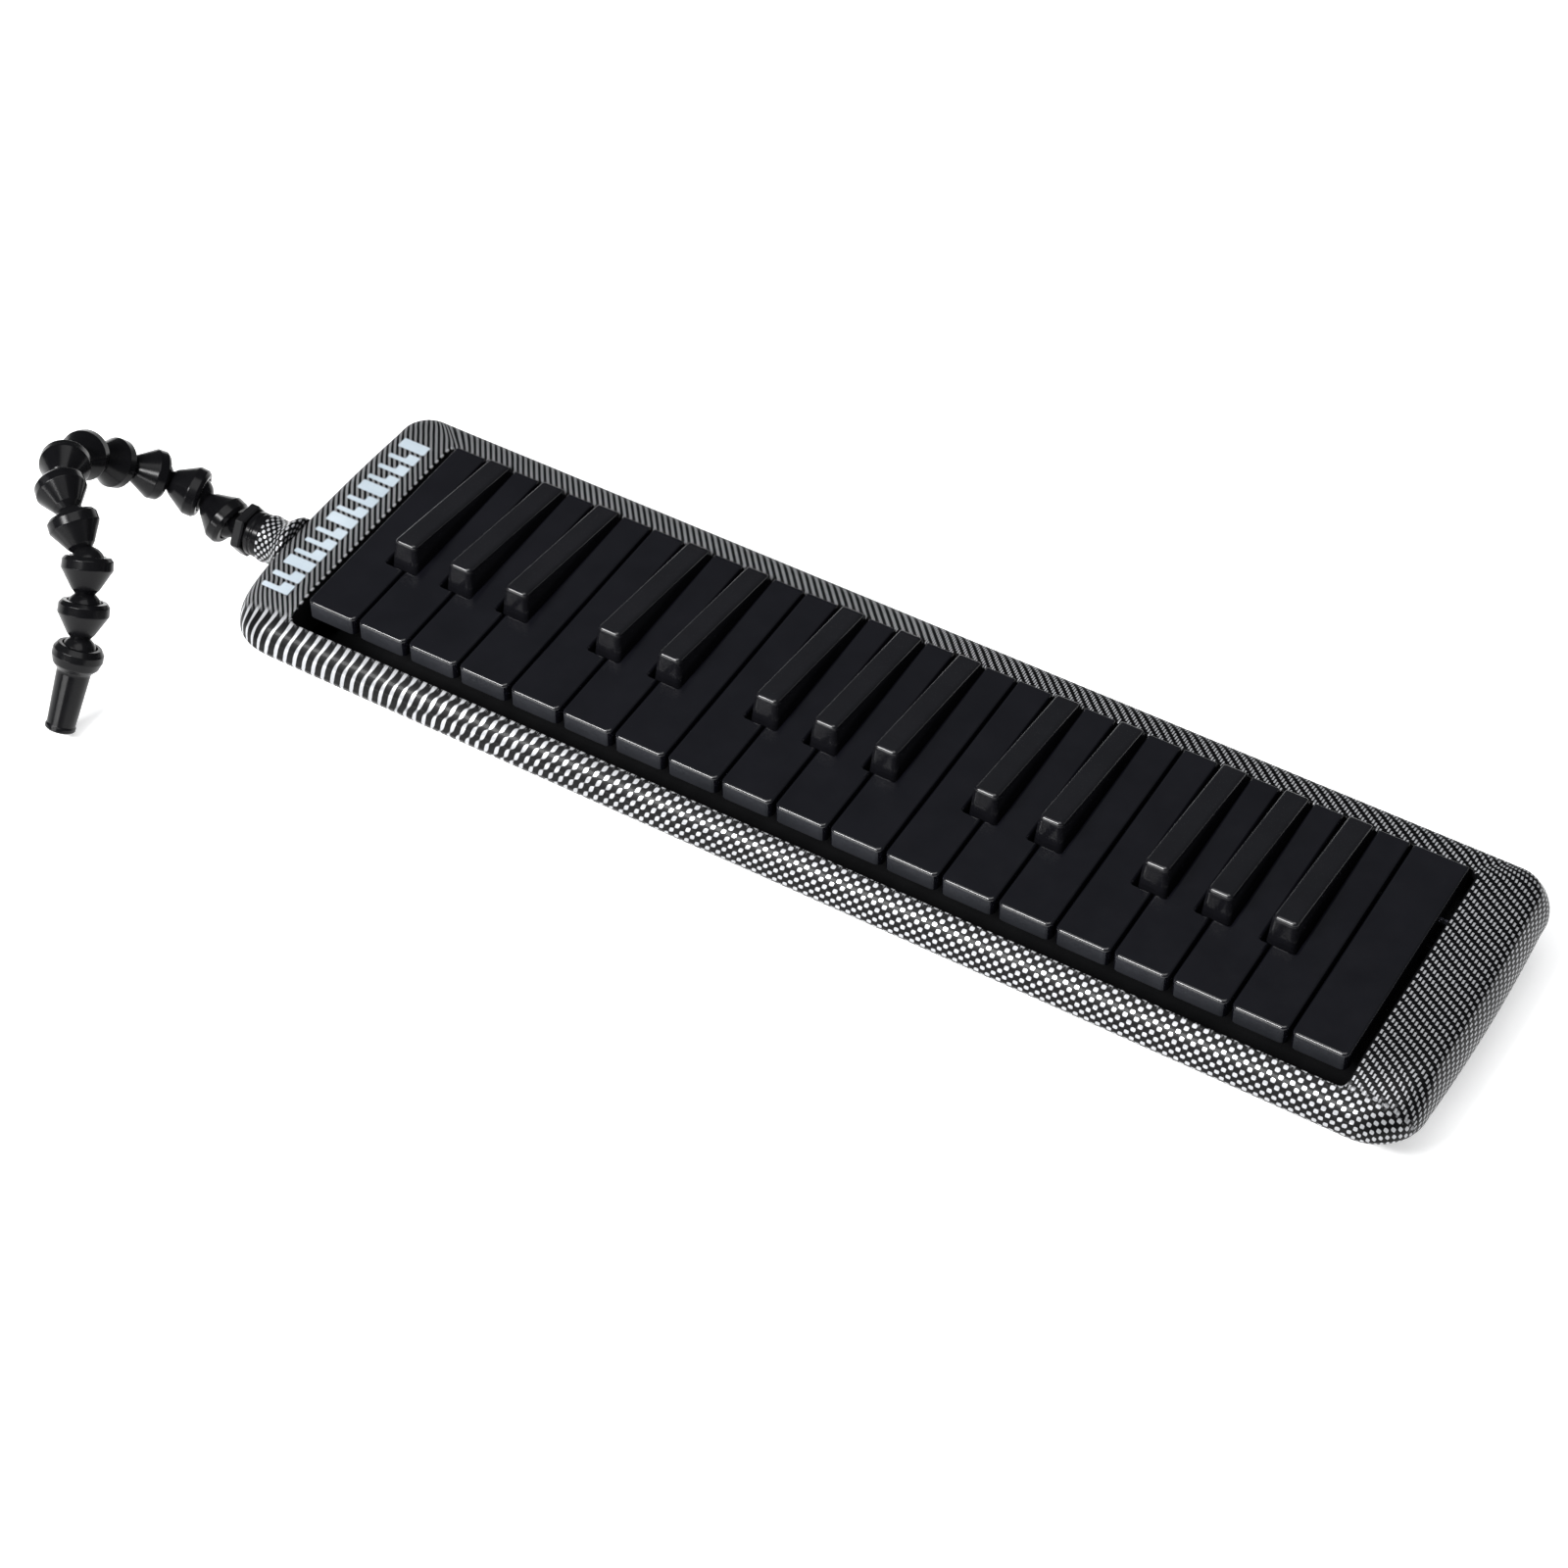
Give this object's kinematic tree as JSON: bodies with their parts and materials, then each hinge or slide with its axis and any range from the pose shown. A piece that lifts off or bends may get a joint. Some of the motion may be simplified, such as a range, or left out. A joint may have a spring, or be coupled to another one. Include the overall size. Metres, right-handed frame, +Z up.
{
  "type": "melodica",
  "caption": "Flat keyboard wind instrument with levered piano keys in a slim two-part case, a reed wind chamber inside, and a jointed blow hose with mouthpiece.",
  "frame": {"origin": "middle of the flat underside of the lower case, 2.5 mm above the ground that the feet stand on", "axes": "+X from the bass end to the treble end, +Y from the player's side to the back, +Z up"},
  "size_m": [0.4996, 0.1694, 0.0693],
  "materials": {
    "case_shell": "glossy black shell with a woven silver-grey print",
    "case_tray": "satin black moulding",
    "natural_key": "satin blue-black, bright along its front edge",
    "sharp_key": "satin black, a little lighter than the naturals",
    "hose_plastic": "gloss black moulding",
    "rubber": "black rubber",
    "brass": "rolled brass sheet",
    "steel": "drawn steel wire and rod",
    "chamber_plastic": "light grey moulding"
  },
  "bodies": {
    "case": {"upper_case": "case_shell", "lower_case": "case_tray", "pivot_rod": "steel", "wind_chamber": "chamber_plastic", "chamber_cover": "chamber_plastic", "inlet_duct": "chamber_plastic", "reed_plate_bass": "brass", "reed_plate_treble": "brass", "key_spring_comb": "steel", "drain_spring": "steel", "foot_bass_front": "rubber", "foot_treble_front": "rubber", "foot_bass_back": "rubber", "foot_treble_back": "rubber"},
    "key_f3": {"key_f3": "natural_key"},
    "key_f_sharp3": {"key_f_sharp3": "sharp_key"},
    "key_g3": {"key_g3": "natural_key"},
    "key_g_sharp3": {"key_g_sharp3": "sharp_key"},
    "key_a3": {"key_a3": "natural_key"},
    "key_a_sharp3": {"key_a_sharp3": "sharp_key"},
    "key_b3": {"key_b3": "natural_key"},
    "key_c4": {"key_c4": "natural_key"},
    "key_c_sharp4": {"key_c_sharp4": "sharp_key"},
    "key_d4": {"key_d4": "natural_key"},
    "key_d_sharp4": {"key_d_sharp4": "sharp_key"},
    "key_e4": {"key_e4": "natural_key"},
    "key_f4": {"key_f4": "natural_key"},
    "key_f_sharp4": {"key_f_sharp4": "sharp_key"},
    "key_g4": {"key_g4": "natural_key"},
    "key_g_sharp4": {"key_g_sharp4": "sharp_key"},
    "key_a4": {"key_a4": "natural_key"},
    "key_a_sharp4": {"key_a_sharp4": "sharp_key"},
    "key_b4": {"key_b4": "natural_key"},
    "key_c5": {"key_c5": "natural_key"},
    "key_c_sharp5": {"key_c_sharp5": "sharp_key"},
    "key_d5": {"key_d5": "natural_key"},
    "key_d_sharp5": {"key_d_sharp5": "sharp_key"},
    "key_e5": {"key_e5": "natural_key"},
    "key_f5": {"key_f5": "natural_key"},
    "key_f_sharp5": {"key_f_sharp5": "sharp_key"},
    "key_g5": {"key_g5": "natural_key"},
    "key_g_sharp5": {"key_g_sharp5": "sharp_key"},
    "key_a5": {"key_a5": "natural_key"},
    "key_a_sharp5": {"key_a_sharp5": "sharp_key"},
    "key_b5": {"key_b5": "natural_key"},
    "key_c6": {"key_c6": "natural_key"},
    "drain_button": {"drain_button": "hose_plastic", "drain_seal": "rubber"},
    "hose_connector": {"hose_connector": "hose_plastic"},
    "hose_segment_1": {"hose_segment_1": "hose_plastic"},
    "hose_segment_2": {"hose_segment_2": "hose_plastic"},
    "hose_segment_3": {"hose_segment_3": "hose_plastic"},
    "hose_segment_4": {"hose_segment_4": "hose_plastic"},
    "hose_segment_5": {"hose_segment_5": "hose_plastic"},
    "hose_segment_6": {"hose_segment_6": "hose_plastic"},
    "hose_segment_7": {"hose_segment_7": "hose_plastic"},
    "hose_segment_8": {"hose_segment_8": "hose_plastic"},
    "hose_segment_9": {"hose_segment_9": "hose_plastic"},
    "hose_segment_10": {"hose_segment_10": "hose_plastic"},
    "mouthpiece": {"mouthpiece": "hose_plastic"}
  },
  "joints": [
    {"name": "key_f3_press", "type": "hinge", "parent": "case", "child": "key_f3", "pos_m": [-0.17983, 0.03, 0.022], "axis": [1, 0, 0], "range_deg": [0, 3.5], "stiffness_Nm_per_rad": 0.25, "springref_deg": -9.17, "deforming": ["key_spring_comb"]},
    {"name": "key_f_sharp3_press", "type": "hinge", "parent": "case", "child": "key_f_sharp3", "pos_m": [-0.1681, 0.03, 0.022], "axis": [1, 0, 0], "range_deg": [0, 3.5], "stiffness_Nm_per_rad": 0.25, "springref_deg": -9.17},
    {"name": "key_g3_press", "type": "hinge", "parent": "case", "child": "key_g3", "pos_m": [-0.1574, 0.03, 0.022], "axis": [1, 0, 0], "range_deg": [0, 3.5], "stiffness_Nm_per_rad": 0.25, "springref_deg": -9.17},
    {"name": "key_g_sharp3_press", "type": "hinge", "parent": "case", "child": "key_g_sharp3", "pos_m": [-0.1467, 0.03, 0.022], "axis": [1, 0, 0], "range_deg": [0, 3.5], "stiffness_Nm_per_rad": 0.25, "springref_deg": -9.17},
    {"name": "key_a3_press", "type": "hinge", "parent": "case", "child": "key_a3", "pos_m": [-0.13585, 0.03, 0.022], "axis": [1, 0, 0], "range_deg": [0, 3.5], "stiffness_Nm_per_rad": 0.25, "springref_deg": -9.17},
    {"name": "key_a_sharp3_press", "type": "hinge", "parent": "case", "child": "key_a_sharp3", "pos_m": [-0.125, 0.03, 0.022], "axis": [1, 0, 0], "range_deg": [0, 3.5], "stiffness_Nm_per_rad": 0.25, "springref_deg": -9.17},
    {"name": "key_b3_press", "type": "hinge", "parent": "case", "child": "key_b3", "pos_m": [-0.11373, 0.03, 0.022], "axis": [1, 0, 0], "range_deg": [0, 3.5], "stiffness_Nm_per_rad": 0.25, "springref_deg": -9.17},
    {"name": "key_c4_press", "type": "hinge", "parent": "case", "child": "key_c4", "pos_m": [-0.10133, 0.03, 0.022], "axis": [1, 0, 0], "range_deg": [0, 3.5], "stiffness_Nm_per_rad": 0.25, "springref_deg": -9.17},
    {"name": "key_c_sharp4_press", "type": "hinge", "parent": "case", "child": "key_c_sharp4", "pos_m": [-0.0895, 0.03, 0.022], "axis": [1, 0, 0], "range_deg": [0, 3.5], "stiffness_Nm_per_rad": 0.25, "springref_deg": -9.17},
    {"name": "key_d4_press", "type": "hinge", "parent": "case", "child": "key_d4", "pos_m": [-0.07815, 0.03, 0.022], "axis": [1, 0, 0], "range_deg": [0, 3.5], "stiffness_Nm_per_rad": 0.25, "springref_deg": -9.17},
    {"name": "key_d_sharp4_press", "type": "hinge", "parent": "case", "child": "key_d_sharp4", "pos_m": [-0.0668, 0.03, 0.022], "axis": [1, 0, 0], "range_deg": [0, 3.5], "stiffness_Nm_per_rad": 0.25, "springref_deg": -9.17},
    {"name": "key_e4_press", "type": "hinge", "parent": "case", "child": "key_e4", "pos_m": [-0.05523, 0.03, 0.022], "axis": [1, 0, 0], "range_deg": [0, 3.5], "stiffness_Nm_per_rad": 0.25, "springref_deg": -9.17},
    {"name": "key_f4_press", "type": "hinge", "parent": "case", "child": "key_f4", "pos_m": [-0.04263, 0.03, 0.022], "axis": [1, 0, 0], "range_deg": [0, 3.5], "stiffness_Nm_per_rad": 0.25, "springref_deg": -9.17},
    {"name": "key_f_sharp4_press", "type": "hinge", "parent": "case", "child": "key_f_sharp4", "pos_m": [-0.0309, 0.03, 0.022], "axis": [1, 0, 0], "range_deg": [0, 3.5], "stiffness_Nm_per_rad": 0.25, "springref_deg": -9.17},
    {"name": "key_g4_press", "type": "hinge", "parent": "case", "child": "key_g4", "pos_m": [-0.0202, 0.03, 0.022], "axis": [1, 0, 0], "range_deg": [0, 3.5], "stiffness_Nm_per_rad": 0.25, "springref_deg": -9.17},
    {"name": "key_g_sharp4_press", "type": "hinge", "parent": "case", "child": "key_g_sharp4", "pos_m": [-0.0095, 0.03, 0.022], "axis": [1, 0, 0], "range_deg": [0, 3.5], "stiffness_Nm_per_rad": 0.25, "springref_deg": -9.17},
    {"name": "key_a4_press", "type": "hinge", "parent": "case", "child": "key_a4", "pos_m": [0.00135, 0.03, 0.022], "axis": [1, 0, 0], "range_deg": [0, 3.5], "stiffness_Nm_per_rad": 0.25, "springref_deg": -9.17},
    {"name": "key_a_sharp4_press", "type": "hinge", "parent": "case", "child": "key_a_sharp4", "pos_m": [0.0122, 0.03, 0.022], "axis": [1, 0, 0], "range_deg": [0, 3.5], "stiffness_Nm_per_rad": 0.25, "springref_deg": -9.17},
    {"name": "key_b4_press", "type": "hinge", "parent": "case", "child": "key_b4", "pos_m": [0.02347, 0.03, 0.022], "axis": [1, 0, 0], "range_deg": [0, 3.5], "stiffness_Nm_per_rad": 0.25, "springref_deg": -9.17},
    {"name": "key_c5_press", "type": "hinge", "parent": "case", "child": "key_c5", "pos_m": [0.03587, 0.03, 0.022], "axis": [1, 0, 0], "range_deg": [0, 3.5], "stiffness_Nm_per_rad": 0.25, "springref_deg": -9.17},
    {"name": "key_c_sharp5_press", "type": "hinge", "parent": "case", "child": "key_c_sharp5", "pos_m": [0.0477, 0.03, 0.022], "axis": [1, 0, 0], "range_deg": [0, 3.5], "stiffness_Nm_per_rad": 0.25, "springref_deg": -9.17},
    {"name": "key_d5_press", "type": "hinge", "parent": "case", "child": "key_d5", "pos_m": [0.05905, 0.03, 0.022], "axis": [1, 0, 0], "range_deg": [0, 3.5], "stiffness_Nm_per_rad": 0.25, "springref_deg": -9.17},
    {"name": "key_d_sharp5_press", "type": "hinge", "parent": "case", "child": "key_d_sharp5", "pos_m": [0.0704, 0.03, 0.022], "axis": [1, 0, 0], "range_deg": [0, 3.5], "stiffness_Nm_per_rad": 0.25, "springref_deg": -9.17},
    {"name": "key_e5_press", "type": "hinge", "parent": "case", "child": "key_e5", "pos_m": [0.08197, 0.03, 0.022], "axis": [1, 0, 0], "range_deg": [0, 3.5], "stiffness_Nm_per_rad": 0.25, "springref_deg": -9.17},
    {"name": "key_f5_press", "type": "hinge", "parent": "case", "child": "key_f5", "pos_m": [0.09458, 0.03, 0.022], "axis": [1, 0, 0], "range_deg": [0, 3.5], "stiffness_Nm_per_rad": 0.25, "springref_deg": -9.17},
    {"name": "key_f_sharp5_press", "type": "hinge", "parent": "case", "child": "key_f_sharp5", "pos_m": [0.1063, 0.03, 0.022], "axis": [1, 0, 0], "range_deg": [0, 3.5], "stiffness_Nm_per_rad": 0.25, "springref_deg": -9.17},
    {"name": "key_g5_press", "type": "hinge", "parent": "case", "child": "key_g5", "pos_m": [0.117, 0.03, 0.022], "axis": [1, 0, 0], "range_deg": [0, 3.5], "stiffness_Nm_per_rad": 0.25, "springref_deg": -9.17},
    {"name": "key_g_sharp5_press", "type": "hinge", "parent": "case", "child": "key_g_sharp5", "pos_m": [0.1277, 0.03, 0.022], "axis": [1, 0, 0], "range_deg": [0, 3.5], "stiffness_Nm_per_rad": 0.25, "springref_deg": -9.17},
    {"name": "key_a5_press", "type": "hinge", "parent": "case", "child": "key_a5", "pos_m": [0.13855, 0.03, 0.022], "axis": [1, 0, 0], "range_deg": [0, 3.5], "stiffness_Nm_per_rad": 0.25, "springref_deg": -9.17},
    {"name": "key_a_sharp5_press", "type": "hinge", "parent": "case", "child": "key_a_sharp5", "pos_m": [0.1494, 0.03, 0.022], "axis": [1, 0, 0], "range_deg": [0, 3.5], "stiffness_Nm_per_rad": 0.25, "springref_deg": -9.17},
    {"name": "key_b5_press", "type": "hinge", "parent": "case", "child": "key_b5", "pos_m": [0.16068, 0.03, 0.022], "axis": [1, 0, 0], "range_deg": [0, 3.5], "stiffness_Nm_per_rad": 0.25, "springref_deg": -9.17},
    {"name": "key_c6_press", "type": "hinge", "parent": "case", "child": "key_c6", "pos_m": [0.1764, 0.03, 0.022], "axis": [1, 0, 0], "range_deg": [0, 3.5], "stiffness_Nm_per_rad": 0.25, "springref_deg": -9.17},
    {"name": "drain_press", "type": "slide", "parent": "case", "child": "drain_button", "axis": [0, 0, 1], "range_m": [0, 0.0012], "stiffness_N_per_m": 60, "springref_m": -0.008, "deforming": ["drain_spring"]},
    {"name": "hose_swivel", "type": "hinge", "parent": "case", "child": "hose_connector", "pos_m": [-0.2212, -0.016, 0.023], "axis": [-1, 0, 0], "range_deg": [-40, 40]},
    {"name": "hose_bend_1", "type": "hinge", "parent": "hose_connector", "child": "hose_segment_1", "pos_m": [-0.2382, -0.016, 0.023], "axis": [0, 0.934, -0.3572], "range_deg": [-21, 8]},
    {"name": "hose_bend_2", "type": "hinge", "parent": "hose_segment_1", "child": "hose_segment_2", "pos_m": [-0.25169, -0.0141, 0.02796], "axis": [0.3266, -0.126, 0.9367], "range_deg": [-21, 8]},
    {"name": "hose_bend_3", "type": "hinge", "parent": "hose_segment_2", "child": "hose_segment_3", "pos_m": [-0.26515, -0.01746, 0.0322], "axis": [0.1163, 0.5655, 0.8165], "range_deg": [-26, 3]},
    {"name": "hose_bend_4", "type": "hinge", "parent": "hose_segment_3", "child": "hose_segment_4", "pos_m": [-0.27486, -0.02561, 0.03923], "axis": [-0.101, 0.716, 0.6907], "range_deg": [-28, 1]},
    {"name": "hose_bend_5", "type": "hinge", "parent": "hose_segment_4", "child": "hose_segment_5", "pos_m": [-0.27831, -0.03564, 0.04912], "axis": [0.5204, 0.5021, 0.6907], "range_deg": [-28, 1]},
    {"name": "hose_bend_6", "type": "hinge", "parent": "hose_segment_5", "child": "hose_segment_6", "pos_m": [-0.27568, -0.04804, 0.05615], "axis": [0.5689, 0.4937, 0.6578], "range_deg": [-28, 1]},
    {"name": "hose_bend_7", "type": "hinge", "parent": "hose_segment_6", "child": "hose_segment_7", "pos_m": [-0.26788, -0.06005, 0.05842], "axis": [0.5299, 0.4766, 0.7015], "range_deg": [-28, 1]},
    {"name": "hose_bend_8", "type": "hinge", "parent": "hose_segment_7", "child": "hose_segment_8", "pos_m": [-0.25651, -0.06862, 0.05565], "axis": [0.611, 0.7886, 0.0688], "range_deg": [-24, 5]},
    {"name": "hose_bend_9", "type": "hinge", "parent": "hose_segment_8", "child": "hose_segment_9", "pos_m": [-0.24678, -0.07543, 0.04733], "axis": [0.0122, 0.7805, -0.6251], "range_deg": [-27, 2]},
    {"name": "hose_bend_10", "type": "hinge", "parent": "hose_segment_9", "child": "hose_segment_10", "pos_m": [-0.24322, -0.08425, 0.03639], "axis": [0.5514, 0.7281, -0.4073], "range_deg": [-6, 23]},
    {"name": "mouthpiece_bend", "type": "hinge", "parent": "hose_segment_10", "child": "mouthpiece", "pos_m": [-0.24101, -0.09248, 0.02466], "axis": [0.2275, 0.8167, -0.5304], "range_deg": [-8, 21]}
  ]
}
